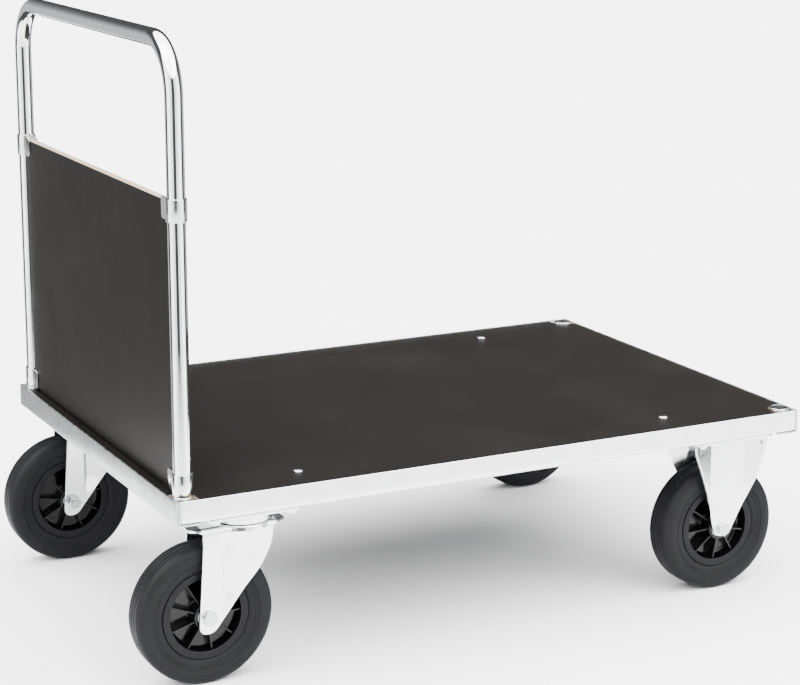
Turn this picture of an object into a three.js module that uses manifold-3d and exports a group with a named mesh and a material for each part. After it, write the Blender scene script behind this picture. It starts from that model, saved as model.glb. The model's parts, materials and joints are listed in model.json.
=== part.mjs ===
// Platform trolley with one plug-in end frame, two swivel casters under the handle end
// and two fixed casters under the free end. Millimetres, +Z up, floor at z = 0.
// +X points from the handle end to the free end, +Y to the left of a person who pushes.
// The origin is on the floor below the middle of the whole trolley.

import * as THREE from 'three';
import { mergeVertices } from 'three/addons/utils/BufferGeometryUtils.js';
import Module from 'manifold-3d';

const wasm = await Module();
wasm.setup();

// Driving dimensions
const platform_length = 1020;
const platform_width = 700;
const deck_height = 280;
const handle_height = 905.5;
const panel_top = 682;
const wheel_diameter = 200;
const wheel_width = 50;
const fit_gap = 0.3;

// Frame and deck
const rail_height = 35;
const rail_sheet = 2.5;
const side_flange = 40;
const end_flange = 36;
const rail_return = 6;
const deck_thickness = 9;
const deck_drop = 1;
const member_inner_flange = 36;
const member_outer_flange = 12;
const member_width = 140;
const deck_bolt_inset = 206;
const deck_bolt_y = 287;
const deck_bolt_head = 8;
const deck_bolt_nut = 7.5;
const deck_bolt_shank = 4;
const deck_bolt_hole = 4.4;

// End frame
const post_inset_x = 19;
const post_inset_y = 25;
const tube_diameter = 25;
const tube_wall = 2;
const handle_bend = 72;
const socket_diameter = 30;
const socket_bore = 26;
const socket_rise = 1.5;
const panel_thickness = 12;
const panel_lift = 4;
const panel_side_gap = 6.5;
const clamp_height = 31;
const clamp_sheet = 1.8;
const clamp_flange = 21;
const clamp_over_panel = 6;

// Casters
const caster_y = 292;
const swivel_x = 117.5;
const swivel_trail = 63.5;
const fixed_plate_inset = 110;
const fixed_axle_offset = -8;
const plate_length = 140;
const plate_width = 110;
const plate_sheet = 4;
const plate_corner = 10;
const hole_spacing_x = 112;
const hole_spacing_y = 80;
const hole_radius = 5.5;
const fork_sheet = 3.5;
const fork_inner = 29.5;
const fork_shoulder = 9;
const crown_top = 228;
const crown_sheet = 4;
const crown_radius = 43;
const head_radius = 42;
const head_depth = 4;
const kingpin_radius = 8;
const kingpin_head_radius = 14;
const kingpin_head_height = 7;
const kingpin_gap = 0.4;
const flare_fold_front = -31;
const flare_front = 0.54;
const flare_fold_rear = 28.5;
const flare_rear = 0.14;

// Wheel
const tyre_inner = 64;
const rim_half_width = 20;
const dish_radius = 53;
const web_half = 4;
const hub_radius = 21;
const hub_half = 26;
const rib_count = 9;
const rib_thickness = 2.4;
const rib_half_width = 16;
const bearing_outer = 14;
const axle_tube_radius = 10;
const axle_radius = 6;
const axle_hex = 19;
const axle_head = 6.5;
const axle_nut = 10;

// Worked out from the driving dimensions
const wheel_radius = wheel_diameter / 2;
const overhang = wheel_radius - (swivel_x - swivel_trail);
const rear_end = (overhang - platform_length) / 2;
const front_end = rear_end + platform_length;
const side = platform_width / 2;
const frame_bottom = deck_height - rail_height;
const deck_top = deck_height - deck_drop;
const deck_bottom = deck_top - deck_thickness;
const post_x = rear_end + post_inset_x;
const post_y = side - post_inset_y;
const tube_radius = tube_diameter / 2;
const handle_top = handle_height - tube_radius;
const socket_top = deck_height + socket_rise;
const rail_seat = frame_bottom + rail_sheet + fit_gap;
const plate_bottom = rail_seat - fit_gap - plate_sheet;
const head_bottom = plate_bottom - head_depth;
const fork_outer = fork_inner + fork_sheet;
const swivel_centre_x = rear_end + swivel_x;
const fixed_centre_x = front_end - fixed_plate_inset;

// Side outlines of the caster legs. Each corner is its distance along the trolley from the
// plate's centre, its height above the floor and, where it is rounded, the rounding.
const swivel_leg = [
  [-89, crown_top], [-81, 220.5], [-69.5, 217.5, 6], [-78.5, 78, 11], [-57.5, 77, 18], [13.5, 166.5, 40],
  [28.5, 194, 40], [32, 219, 4], [52, 221.5], [52, crown_top],
];
const fixed_leg = [
  [-72, plate_bottom + 1], [-71.4, 231], [-33, 150, 30], [-28, 112, 30], [-19.5, 88.5, 14], [3, 88.5, 13],
  [20, 120, 40], [52, 176, 40], [67, 223], [70, plate_bottom + 1],
];

// Colours and finishes
const finishes = {
  zinc: { color: 0xdfe2e3, roughness: 0.38, metalness: 0.85 },
  zinc_matt: { color: 0xaab0b0, roughness: 0.5, metalness: 0.8 },
  chrome: { color: 0xd7d9dc, roughness: 0.08, metalness: 1.0 },
  film_plywood: { color: 0x443d3a, roughness: 0.42, metalness: 0.0 },
  tyre: { color: 0x3a3a3e, roughness: 0.75, metalness: 0.0 },
  rim: { color: 0x131315, roughness: 0.25, metalness: 0.0 },
  steel: { color: 0xb9bcc0, roughness: 0.3, metalness: 1.0 },
  plastic: { color: 0x35373a, roughness: 0.55, metalness: 0.0 },
};

const group = new THREE.Group();

// One closed indexed mesh with its shared corners merged, its empty triangles dropped
// and its faces pointing out.
function closed(geometry) {
  const bare = geometry.clone();
  bare.deleteAttribute('normal');
  bare.deleteAttribute('uv');
  const merged = mergeVertices(bare, 1e-4);
  const index = merged.index.array;
  const kept = [];
  for (let i = 0; i < index.length; i += 3) {
    const [a, b, c] = [index[i], index[i + 1], index[i + 2]];
    if (a !== b && b !== c && c !== a) kept.push(a, b, c);
  }
  merged.setIndex(signedVolume(merged, kept) < 0 ? kept.reverse() : kept);
  return merged;
}

function signedVolume(geometry, index) {
  const corner = [new THREE.Vector3(), new THREE.Vector3(), new THREE.Vector3()];
  let total = 0;
  for (let i = 0; i < index.length; i += 3) {
    corner.forEach((point, k) => point.fromBufferAttribute(geometry.attributes.position, index[i + k]));
    total += corner[0].dot(corner[1].clone().cross(corner[2])) / 6;
  }
  return total;
}

function toSolid(geometry) {
  const mesh = closed(geometry);
  return new wasm.Manifold(new wasm.Mesh({
    numProp: 3,
    vertProperties: new Float32Array(mesh.attributes.position.array),
    triVerts: new Uint32Array(mesh.index.array),
  }));
}

function toGeometry(solid) {
  const mesh = solid.getMesh();
  const geometry = new THREE.BufferGeometry();
  geometry.setAttribute('position', new THREE.BufferAttribute(mesh.vertProperties, 3));
  geometry.setIndex(new THREE.BufferAttribute(mesh.triVerts, 1));
  return geometry;
}

function joined(geometries) {
  return geometries.map(toSolid).reduce((whole, piece) => whole.add(piece));
}

function cut(solid, tools) {
  return tools.map(toSolid).reduce((rest, tool) => rest.subtract(tool), solid);
}

function add(parent, name, geometry, finish) {
  const mesh = new THREE.Mesh(closed(geometry), new THREE.MeshStandardMaterial(finishes[finish]));
  mesh.name = name;
  parent.add(mesh);
}

function outline(points) {
  return new THREE.Shape(points.map(([a, b]) => new THREE.Vector2(a, b)));
}

// An outline whose corners are rounded where they carry a third number, the radius.
function roundedOutline(corners) {
  const shape = new THREE.Shape();
  const at = (i) => new THREE.Vector2(...corners.at(i % corners.length).slice(0, 2));
  corners.forEach(([a, b, radius], i) => {
    if (radius === undefined) {
      if (i === 0) shape.moveTo(a, b);
      else shape.lineTo(a, b);
      return;
    }
    const back = at(i - 1).sub(at(i)).normalize();
    const ahead = at(i + 1).sub(at(i)).normalize();
    const half_angle = Math.acos(back.dot(ahead)) / 2;
    const centre = back.clone().add(ahead).setLength(radius / Math.sin(half_angle)).add(at(i));
    const setback = radius / Math.tan(half_angle);
    const start = back.clone().multiplyScalar(setback).add(at(i)).sub(centre).angle();
    const finish = ahead.clone().multiplyScalar(setback).add(at(i)).sub(centre).angle();
    shape.absarc(centre.x, centre.y, radius, start, finish, back.cross(ahead) > 0);
  });
  return shape;
}

// A box between two corners.
function box([x0, y0, z0], [x1, y1, z1]) {
  const geometry = new THREE.BoxGeometry(x1 - x0, y1 - y0, z1 - z0);
  return geometry.translate((x0 + x1) / 2, (y0 + y1) / 2, (z0 + z1) / 2);
}

// A plan outline in x and y, from one height to another.
function raised(shape, z0, z1, curveSegments = 6) {
  const geometry = new THREE.ExtrudeGeometry(shape, { depth: z1 - z0, bevelEnabled: false, curveSegments });
  return geometry.translate(0, 0, z0);
}

// A side outline in x and z, from y0 to y1.
function across(shape, y0, y1, curveSegments = 6) {
  const geometry = new THREE.ExtrudeGeometry(shape, { depth: y1 - y0, bevelEnabled: false, curveSegments });
  return geometry.rotateX(Math.PI / 2).translate(0, y1, 0);
}

// An end outline in y and z, from x0 to x1.
function along(shape, x0, x1) {
  const settings = { depth: x1 - x0, bevelEnabled: false, curveSegments: 4 };
  const geometry = new THREE.ExtrudeGeometry(shape, settings);
  const turn = new THREE.Matrix4().makeBasis(
    new THREE.Vector3(0, 1, 0), new THREE.Vector3(0, 0, 1), new THREE.Vector3(1, 0, 0));
  return geometry.applyMatrix4(turn).translate(x0, 0, 0);
}

// A closed profile of [radius, height] points turned about the Y axis, as wheels are.
function turnedAcross(points, segments) {
  const profile = [...points, points[0]].map(([r, h]) => new THREE.Vector2(r, h));
  return new THREE.LatheGeometry(profile, segments);
}

// The same about the Z axis, as kingpins and sockets are.
function turnedUp(points, segments) {
  return turnedAcross(points, segments).rotateX(Math.PI / 2);
}

function ring(inner, outer, low, high) {
  return [[inner, low], [outer, low], [outer, high], [inner, high]];
}

function upright(x, y, radius, z0, z1, segments = 12) {
  const geometry = new THREE.CylinderGeometry(radius, radius, z1 - z0, segments);
  return geometry.rotateX(Math.PI / 2).translate(x, y, (z0 + z1) / 2);
}

function crosswise(x, z, radius, y0, y1, segments = 12) {
  const geometry = new THREE.CylinderGeometry(radius, radius, y1 - y0, segments);
  return geometry.translate(x, (y0 + y1) / 2, z);
}

const hex_radius = (flats) => flats / Math.sqrt(3);

// Where the four bolt holes of a caster plate lie, from the plate's centre.
function plateHoles() {
  const holes = [];
  for (const dx of [-hole_spacing_x / 2, hole_spacing_x / 2]) {
    for (const dy of [-hole_spacing_y / 2, hole_spacing_y / 2]) holes.push([dx, dy]);
  }
  return holes;
}

// Holes for the caster bolts through the frame's lower faces at one x centre and side.
function boltDrills(centre_x, y_sign) {
  return plateHoles().map(([dx, dy]) =>
    upright(centre_x + dx, y_sign * (caster_y + dy), hole_radius, rail_seat - 1, rail_seat + 4, 8));
}

// Side rail: an upright web with a flange folded inwards at its lower edge. It stands on the
// end rails' flanges, so its lower edge is one sheet higher than theirs.
function sideRail(y_sign) {
  const start = rear_end + rail_return + fit_gap;
  const end = front_end - rail_return - fit_gap;
  const flange_start = rear_end + end_flange + fit_gap;
  const flange_end = front_end - end_flange - fit_gap;
  const web_inner = side - rail_sheet;
  const sides = [y_sign * web_inner, y_sign * side].sort((a, b) => a - b);
  const web = box([start, sides[0], rail_seat], [end, sides[1], deck_height]);
  const flats = [y_sign * (side - side_flange), y_sign * web_inner + y_sign].sort((a, b) => a - b);
  const flange_top = rail_seat + rail_sheet;
  const flange = box([flange_start, flats[0], rail_seat], [flange_end, flats[1], flange_top]);
  const drills = [...boltDrills(swivel_centre_x, y_sign), ...boltDrills(fixed_centre_x, y_sign)];
  return toGeometry(cut(joined([web, flange]), drills));
}

// End rail: the same section across the trolley, with a short return round each corner.
function endRail(x_outer, x_sign) {
  const span = (near, far) => [x_outer - x_sign * near, x_outer - x_sign * far].sort((a, b) => a - b);
  const web = span(0, rail_sheet);
  const flange = span(0, end_flange);
  const corner = span(0, rail_return);
  const flange_reach = side - rail_sheet - fit_gap;
  const pieces = [
    box([web[0], -side, frame_bottom], [web[1], side, deck_height]),
    box([flange[0], -flange_reach, frame_bottom], [flange[1], flange_reach, frame_bottom + rail_sheet]),
    box([corner[0], -side + 1, frame_bottom], [corner[1], side - 1, frame_bottom + rail_sheet]),
  ];
  for (const s of [-1, 1]) {
    const sides = [s * side, s * (side - rail_sheet)].sort((a, b) => a - b);
    pieces.push(box([corner[0], sides[0], frame_bottom], [corner[1], sides[1], deck_height]));
  }
  return toGeometry(joined(pieces));
}

// Cross member: a folded channel that carries the deck and that two caster plates bolt to.
function crossMember(centre_x, inward) {
  const half = member_width / 2;
  const low = rail_seat;
  const high = deck_bottom - fit_gap;
  const t = rail_sheet;
  const inner = half + member_inner_flange;
  const outer = half + member_outer_flange;
  const section = [
    [-outer, high], [-outer, high - t], [-half, high - t], [-half, low], [half, low],
    [half, high - t], [inner, high - t], [inner, high], [half - t, high], [half - t, low + t],
    [-half + t, low + t], [-half + t, high],
  ].map(([x, z]) => [centre_x + inward * x, z]);
  const reach = side - side_flange - fit_gap;
  const drills = [-1, 1].flatMap((s) => boltDrills(centre_x, s));
  const bolt_x = inward > 0 ? rear_end + deck_bolt_inset : front_end - deck_bolt_inset;
  for (const s of [-1, 1]) {
    drills.push(upright(bolt_x, s * deck_bolt_y, deck_bolt_hole, high - 5, high + 2, 8));
  }
  return toGeometry(cut(toSolid(across(outline(section), -reach, reach)), drills));
}

// Deck board: film-faced plywood with a round-cornered notch at each socket.
function deckBoard() {
  const edge = rail_sheet + fit_gap;
  const corner = [rear_end + edge, -side + edge, deck_bottom];
  const board = box(corner, [front_end - edge, side - edge, deck_top]);
  const notch_radius = socket_diameter / 2 + 1.5;
  const tools = [];
  for (const [x, x_end] of [[post_x, rear_end], [front_end - post_inset_x, front_end]]) {
    for (const s of [-1, 1]) {
      const y = s * post_y;
      tools.push(upright(x, y, notch_radius, deck_bottom - 1, deck_top + 1, 24));
      const near_x = x + Math.sign(x - x_end) * notch_radius;
      const near_y = y - s * notch_radius;
      const xs = [[x_end, x], [x_end, near_x]].map((pair) => pair.sort((a, b) => a - b));
      const ys = [[s * side, near_y], [s * side, y]].map((pair) => pair.sort((a, b) => a - b));
      for (const k of [0, 1]) {
        tools.push(box([xs[k][0], ys[k][0], deck_bottom - 1], [xs[k][1], ys[k][1], deck_top + 1]));
      }
    }
  }
  for (const x of [rear_end + deck_bolt_inset, front_end - deck_bolt_inset]) {
    for (const s of [-1, 1]) {
      tools.push(upright(x, s * deck_bolt_y, deck_bolt_hole, deck_bottom - 1, deck_top + 1));
    }
  }
  return toGeometry(cut(toSolid(board), tools));
}

// Deck bolt: a round head on the deck, its shank and the nut below the cross member's flange.
function deckBolt() {
  const seat = deck_top + 0.1;
  const nut_top = deck_bottom - fit_gap - rail_sheet - 0.1;
  const nut_bottom = nut_top - 6.5;
  const tip = nut_bottom - 2.5;
  const profile = [
    [0, tip], [deck_bolt_shank, tip], [deck_bolt_shank, nut_bottom], [deck_bolt_nut, nut_bottom],
    [deck_bolt_nut, nut_top], [deck_bolt_shank, nut_top], [deck_bolt_shank, seat], [deck_bolt_head, seat],
    [deck_bolt_head * 0.7, seat + 2.5], [0, seat + 3.3],
  ];
  return turnedUp(profile, 10);
}

// Corner socket: a short open tube that stands on the end rail's flange.
function cornerSocket() {
  return turnedUp(ring(socket_bore / 2, socket_diameter / 2, rail_seat, socket_top), 20);
}

// A route through given points, sampled exactly at them.
class Route extends THREE.Curve {
  constructor(points, tangents) {
    super();
    this.points = points;
    this.tangents = tangents;
  }

  place(u) {
    return Math.round(u * (this.points.length - 1));
  }

  getPoint(u) {
    return this.points[this.place(u)].clone();
  }

  getPointAt(u) {
    return this.getPoint(u);
  }

  getTangentAt(u) {
    return this.tangents[this.place(u)].clone();
  }
}

// The handle's centre line: up one post, over two bends and down the other.
function handleRoute() {
  const points = [];
  const tangents = [];
  const push = (y, z, ty, tz) => {
    points.push(new THREE.Vector3(0, y, z));
    tangents.push(new THREE.Vector3(0, ty, tz));
  };
  const bend_steps = 6;
  push(-post_y, rail_seat + fit_gap, 0, 1);
  for (const [s, first] of [[-1, Math.PI], [1, Math.PI / 2]]) {
    for (let i = 0; i <= bend_steps; i += 1) {
      const angle = first - (i / bend_steps) * (Math.PI / 2);
      const y = s * (post_y - handle_bend) + handle_bend * Math.cos(angle);
      const z = handle_top - handle_bend + handle_bend * Math.sin(angle);
      push(y, z, Math.sin(angle), -Math.cos(angle));
    }
  }
  push(post_y, rail_seat + fit_gap, 0, -1);
  return new Route(points, tangents);
}

// Handle: one round tube, open at both lower ends.
function handleTube() {
  const section = new THREE.Shape().absarc(0, 0, tube_radius, 0, 2 * Math.PI);
  section.holes.push(new THREE.Path().absarc(0, 0, tube_radius - tube_wall, 0, 2 * Math.PI, true));
  const route = handleRoute();
  const steps = route.points.length - 1;
  const tube = new THREE.ExtrudeGeometry(section, { steps, extrudePath: route, curveSegments: 10 });
  return tube.translate(post_x, 0, 0);
}

// End panel: plywood between the posts.
function endPanel() {
  const reach = post_y - tube_radius - panel_side_gap;
  const half = panel_thickness / 2;
  return box([post_x - half, -reach, deck_height + panel_lift], [post_x + half, reach, panel_top]);
}

// Panel clamp: a band round the post with two flanges over the panel's faces.
function panelClamp(z0, y_sign) {
  const inner = tube_radius + fit_gap;
  const outer = inner + clamp_sheet;
  const near = panel_thickness / 2 + fit_gap;
  const far = near + clamp_sheet;
  const tip = outer + clamp_flange;
  const open_outer = Math.acos(far / outer);
  const open_inner = Math.acos(near / inner);
  const shape = new THREE.Shape();
  shape.moveTo(far, tip);
  shape.lineTo(near, tip);
  shape.lineTo(near, inner * Math.sin(open_inner));
  shape.absarc(0, 0, inner, open_inner, Math.PI - open_inner, true);
  shape.lineTo(-near, tip);
  shape.lineTo(-far, tip);
  shape.lineTo(-far, outer * Math.sin(open_outer));
  shape.absarc(0, 0, outer, Math.PI - open_outer, open_outer, false);
  const band = raised(shape, z0, z0 + clamp_height, 7);
  if (y_sign > 0) band.rotateZ(Math.PI);
  return band;
}

// A folded sheet bridge over the wheel: two legs and the web between them, seen from the end.
function bridgeSection(top) {
  const r = fork_shoulder;
  const ri = r - fork_sheet;
  const shape = new THREE.Shape();
  shape.moveTo(fork_outer, 0);
  shape.absarc(fork_outer - r, top - r, r, 0, Math.PI / 2, false);
  shape.absarc(-fork_outer + r, top - r, r, Math.PI / 2, Math.PI, false);
  shape.lineTo(-fork_outer, 0);
  shape.lineTo(-fork_inner, 0);
  shape.absarc(-fork_inner + ri, top - r, ri, Math.PI, Math.PI / 2, true);
  shape.absarc(fork_inner - ri, top - r, ri, Math.PI / 2, 0, true);
  shape.lineTo(fork_inner, 0);
  return shape;
}

// The plan of one fixed leg: a sheet whose two edge strips are folded outwards.
function flaredSection(y_sign) {
  const line = [
    [-plate_length / 2 - 5, flare_fold_front, flare_front],
    [plate_length / 2 + 5, flare_fold_rear, flare_rear],
  ].flatMap(([x, fold, slope]) => {
    const points = [[x, fork_outer + Math.abs(x - fold) * slope], [fold, fork_outer]];
    return x < 0 ? points : points.reverse();
  });
  const inside = line.map(([x, y]) => [x, y - fork_sheet]).reverse();
  return outline([...line, ...inside].map(([x, y]) => [x, y_sign * y]));
}

function roundedPlate(length, width, corner, z0, z1) {
  const [a, b] = [length / 2 - corner, width / 2 - corner];
  const shape = new THREE.Shape();
  shape.absarc(a, b, corner, 0, Math.PI / 2, false);
  shape.absarc(-a, b, corner, Math.PI / 2, Math.PI, false);
  shape.absarc(-a, -b, corner, Math.PI, 1.5 * Math.PI, false);
  shape.absarc(a, -b, corner, 1.5 * Math.PI, 2 * Math.PI, false);
  return raised(shape, z0, z1, 3);
}

function plateDrills() {
  return plateHoles().map(([dx, dy]) => upright(dx, dy, hole_radius, plate_bottom - 2, rail_seat + 2, 8));
}

function casterPlate() {
  return roundedPlate(plate_length, plate_width, plate_corner, plate_bottom, plate_bottom + plate_sheet);
}

// Swivel fork: crown, two legs and a round ball seat about the swivel axis.
function swivelFork() {
  const bridge = toSolid(along(bridgeSection(crown_top), -100, 100));
  const pressed = bridge.intersect(toSolid(across(roundedOutline(swivel_leg), -60, 60, 10)));
  const bore = kingpin_radius + kingpin_gap;
  const seat = turnedUp([
    [bore, crown_top - crown_sheet], [crown_radius - 3, crown_top - crown_sheet],
    [crown_radius, crown_top - 1], [crown_radius, crown_top], [bore, crown_top],
  ], 24);
  const drills = [
    upright(0, 0, bore, crown_top - 20, crown_top + 20, 16),
    crosswise(-swivel_trail, wheel_radius, axle_radius + fit_gap, -60, 60),
  ];
  return toGeometry(cut(pressed.add(toSolid(seat)), drills));
}

// Fixed bracket: bolting plate and two legs with outward folds in one pressing.
function fixedBracket() {
  const side_block = toSolid(across(roundedOutline(fixed_leg), -60, 60, 10));
  const pressed = [-1, 1].map((s) =>
    toSolid(raised(flaredSection(s), 0, frame_bottom)).intersect(side_block));
  const solid = pressed[0].add(pressed[1]).intersect(toSolid(box([-75, -55, 0], [75, 55, 300])));
  const axle_hole = crosswise(fixed_axle_offset, wheel_radius, axle_radius + fit_gap, -60, 60);
  return toGeometry(cut(solid.add(toSolid(casterPlate())), [...plateDrills(), axle_hole]));
}

// Swivel top plate with the round upper race pressed down from it.
function topPlate() {
  const head = turnedUp(ring(kingpin_radius, head_radius, head_bottom, plate_bottom + 1), 24);
  const bore = upright(0, 0, kingpin_radius + fit_gap, head_bottom - 5, rail_seat + 2, 16);
  return toGeometry(cut(joined([casterPlate(), head]), [bore, ...plateDrills()]));
}

// Kingpin: clamps the crown under the top plate, with a head below the crown.
function kingpin() {
  const head_top = crown_top - crown_sheet - fit_gap;
  const tip = rail_seat - 0.8;
  return turnedUp([
    [0, head_top - kingpin_head_height], [kingpin_head_radius, head_top - kingpin_head_height],
    [kingpin_head_radius, head_top], [kingpin_radius, head_top], [kingpin_radius, tip], [0, tip],
  ], 12);
}

function ballRace() {
  const low = crown_top + fit_gap;
  const high = head_bottom - fit_gap;
  const bevel = 2;
  return turnedUp([
    [24, low + bevel], [28, low], [32, low + bevel], [32, high - bevel], [28, high], [24, high - bevel],
  ], 20);
}

function dustRing() {
  const [low, high] = [crown_top + fit_gap, head_bottom - fit_gap];
  return turnedUp(ring(head_radius - 4, head_radius - 1, low, high), 20);
}

// Tyre: solid rubber with flat sides, round shoulders and a nearly flat tread.
function tyre() {
  const half = wheel_width / 2;
  const r = wheel_radius;
  const one_side = [
    [tyre_inner, rim_half_width], [70, half - 3], [85, half], [r - 5, half - 2], [r, half - 9],
  ];
  const other_side = one_side.map(([radius, y]) => [radius, -y]).reverse();
  return turnedAcross([...one_side, ...other_side], 36);
}

// Wheel rim: a moulded ring, web and hub, with thin radial ribs on both faces.
function wheelRim() {
  const outer = tyre_inner - fit_gap;
  const one_side = [
    [bearing_outer + fit_gap, hub_half], [hub_radius - 2, hub_half], [hub_radius, web_half],
    [dish_radius - 3, web_half], [dish_radius, rim_half_width], [outer, rim_half_width],
  ];
  const other_side = one_side.map(([radius, y]) => [radius, -y]).reverse();
  const body = toSolid(turnedAcross([...one_side, ...other_side], 3 * rib_count));
  const ribs = [];
  const [from, to] = [hub_radius - 3, dish_radius + 2];
  const rib = outline([[from, -rib_half_width - 5], [to, -rib_half_width], [to, rib_half_width],
    [from, rib_half_width + 5]]);
  for (let i = 0; i < rib_count; i += 1) {
    const plate = new THREE.ExtrudeGeometry(rib, { depth: rib_thickness, bevelEnabled: false });
    ribs.push(plate.translate(0, 0, -rib_thickness / 2).rotateY((i / rib_count) * 2 * Math.PI));
  }
  return toGeometry(ribs.map(toSolid).reduce((whole, rib) => whole.add(rib), body));
}

function rollerBearing() {
  return turnedAcross(ring(axle_tube_radius + 0.2, bearing_outer, -hub_half + 1, hub_half - 1), 16);
}

function axleTube() {
  const half = fork_inner - fit_gap;
  return turnedAcross(ring(axle_radius + 0.2, axle_tube_radius, -half, half), 12);
}

// Axle bolt: a hexagon head outside one leg and the shank through both.
function axleBolt(out) {
  const seat = fork_outer + fit_gap;
  const head = crosswise(0, 0, hex_radius(axle_hex), out > 0 ? seat : -seat - axle_head,
    out > 0 ? seat + axle_head : -seat, 6);
  const tip = fork_outer + axle_nut + 3;
  const shank = crosswise(0, 0, axle_radius, out > 0 ? -tip : -seat - 1, out > 0 ? seat + 1 : tip, 12);
  return toGeometry(joined([head, shank]));
}

function axleNut(out) {
  const seat = fork_outer + fit_gap;
  const [y0, y1] = out > 0 ? [-seat - axle_nut, -seat] : [seat, seat + axle_nut];
  const nut = crosswise(0, 0, hex_radius(axle_hex), y0, y1, 6);
  return toGeometry(cut(toSolid(nut), [crosswise(0, 0, axle_radius + 0.2, y0 - 1, y1 + 1)]));
}

// The pieces on one axle, which both kinds of caster share.
function addAxle(caster, place, axle_x, out) {
  const axle = new THREE.Group();
  axle.position.set(axle_x, 0, wheel_radius);
  caster.add(axle);
  add(axle, `axle_bolt_${place}`, axleBolt(out), 'zinc');
  add(axle, `axle_nut_${place}`, axleNut(out), 'zinc');
  add(axle, `axle_tube_${place}`, axleTube(), 'steel');
  add(axle, `roller_bearing_${place}`, rollerBearing(), 'steel');
  add(axle, `wheel_rim_${place}`, wheelRim(), 'rim');
  add(axle, `tyre_${place}`, tyre(), 'tyre');
}

function addSwivelCaster(place, y_sign) {
  const caster = new THREE.Group();
  caster.position.set(swivel_centre_x, y_sign * caster_y, 0);
  group.add(caster);
  add(caster, `top_plate_${place}`, topPlate(), 'zinc');
  add(caster, `kingpin_${place}`, kingpin(), 'steel');
  add(caster, `ball_race_${place}`, ballRace(), 'steel');
  add(caster, `dust_ring_${place}`, dustRing(), 'plastic');
  add(caster, `swivel_fork_${place}`, swivelFork(), 'zinc');
  addAxle(caster, place, -swivel_trail, y_sign);
}

function addFixedCaster(place, y_sign) {
  const caster = new THREE.Group();
  caster.position.set(fixed_centre_x, y_sign * caster_y, 0);
  group.add(caster);
  add(caster, `fixed_bracket_${place}`, fixedBracket(), 'zinc');
  addAxle(caster, place, fixed_axle_offset, y_sign);
}

function addPlatform() {
  add(group, 'deck_board', deckBoard(), 'film_plywood');
  add(group, 'end_rail_rear', endRail(rear_end, -1), 'zinc_matt');
  add(group, 'end_rail_front', endRail(front_end, 1), 'zinc_matt');
  add(group, 'cross_member_rear', crossMember(swivel_centre_x, 1), 'zinc_matt');
  add(group, 'cross_member_front', crossMember(fixed_centre_x, -1), 'zinc_matt');
  for (const [hand, s] of [['left', 1], ['right', -1]]) {
    add(group, `side_rail_${hand}`, sideRail(s), 'zinc');
    for (const [end, x, bolt_x] of [
      ['rear', post_x, rear_end + deck_bolt_inset],
      ['front', front_end - post_inset_x, front_end - deck_bolt_inset],
    ]) {
      add(group, `corner_socket_${end}_${hand}`, cornerSocket().translate(x, s * post_y, 0), 'zinc');
      add(group, `deck_bolt_${end}_${hand}`, deckBolt().translate(bolt_x, s * deck_bolt_y, 0), 'zinc');
    }
  }
}

function addEndFrame() {
  add(group, 'handle_tube', handleTube(), 'chrome');
  add(group, 'end_panel', endPanel(), 'film_plywood');
  const heights = [
    ['lower', socket_top + fit_gap],
    ['upper', panel_top + clamp_over_panel - clamp_height],
  ];
  for (const [hand, s] of [['left', 1], ['right', -1]]) {
    for (const [level, z0] of heights) {
      const clamp = panelClamp(z0, s).translate(post_x, s * post_y, 0);
      add(group, `panel_clamp_${level}_${hand}`, clamp, 'zinc_matt');
    }
  }
}

addPlatform();
addEndFrame();
for (const [hand, s] of [['left', 1], ['right', -1]]) {
  addSwivelCaster(`rear_${hand}`, s);
  addFixedCaster(`front_${hand}`, s);
}

export default group;
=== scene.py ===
"""Platform trolley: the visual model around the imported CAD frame. Metres, +Z up."""

import json
import math

import bmesh
import bpy
from mathutils import Matrix, Vector


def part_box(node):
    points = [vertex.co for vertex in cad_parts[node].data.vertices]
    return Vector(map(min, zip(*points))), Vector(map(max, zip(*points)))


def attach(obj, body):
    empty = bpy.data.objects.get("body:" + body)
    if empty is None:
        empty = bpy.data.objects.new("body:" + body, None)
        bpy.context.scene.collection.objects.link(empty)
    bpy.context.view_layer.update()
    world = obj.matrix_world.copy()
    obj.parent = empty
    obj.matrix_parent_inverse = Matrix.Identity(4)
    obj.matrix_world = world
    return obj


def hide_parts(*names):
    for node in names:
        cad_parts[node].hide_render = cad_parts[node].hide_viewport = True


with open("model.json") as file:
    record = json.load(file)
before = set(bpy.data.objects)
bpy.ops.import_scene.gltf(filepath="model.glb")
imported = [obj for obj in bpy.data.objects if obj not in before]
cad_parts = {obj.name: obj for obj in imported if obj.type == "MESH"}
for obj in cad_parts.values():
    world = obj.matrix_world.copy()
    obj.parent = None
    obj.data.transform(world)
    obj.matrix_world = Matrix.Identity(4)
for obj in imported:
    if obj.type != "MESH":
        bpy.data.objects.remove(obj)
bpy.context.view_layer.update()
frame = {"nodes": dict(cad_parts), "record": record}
scene = bpy.context.scene
body_of_node = {
    node: body
    for body, members in frame["record"]["behaviour"]["bodies"].items()
    for node in members
}

HANDS = {"left": 1, "right": -1}
ENDS = ("rear", "front")
RAIL_SHEET = 0.0025
PRESSED_SHEET = 0.0035
PLATE_SHEET = 0.004
PLATE_HALF_SIZE = (0.070, 0.055)
BOLT_OFFSET = (0.056, 0.04)
BOLT_HOLE_RADIUS = 0.0055
LEGS_HALF_WIDTH = 0.033
AXLE_HOLE_RADIUS = 0.0063
AXLE_BOLT_FLATS = 0.019
AXLE_BOLT_SEAT = 0.0333
WHEEL_RADIUS = 0.1
RIB_COUNT = 9
CUT_MARGIN = 0.01  # how far a cutter runs past the shape it cuts


# ---------------------------------------------------------------- materials


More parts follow.
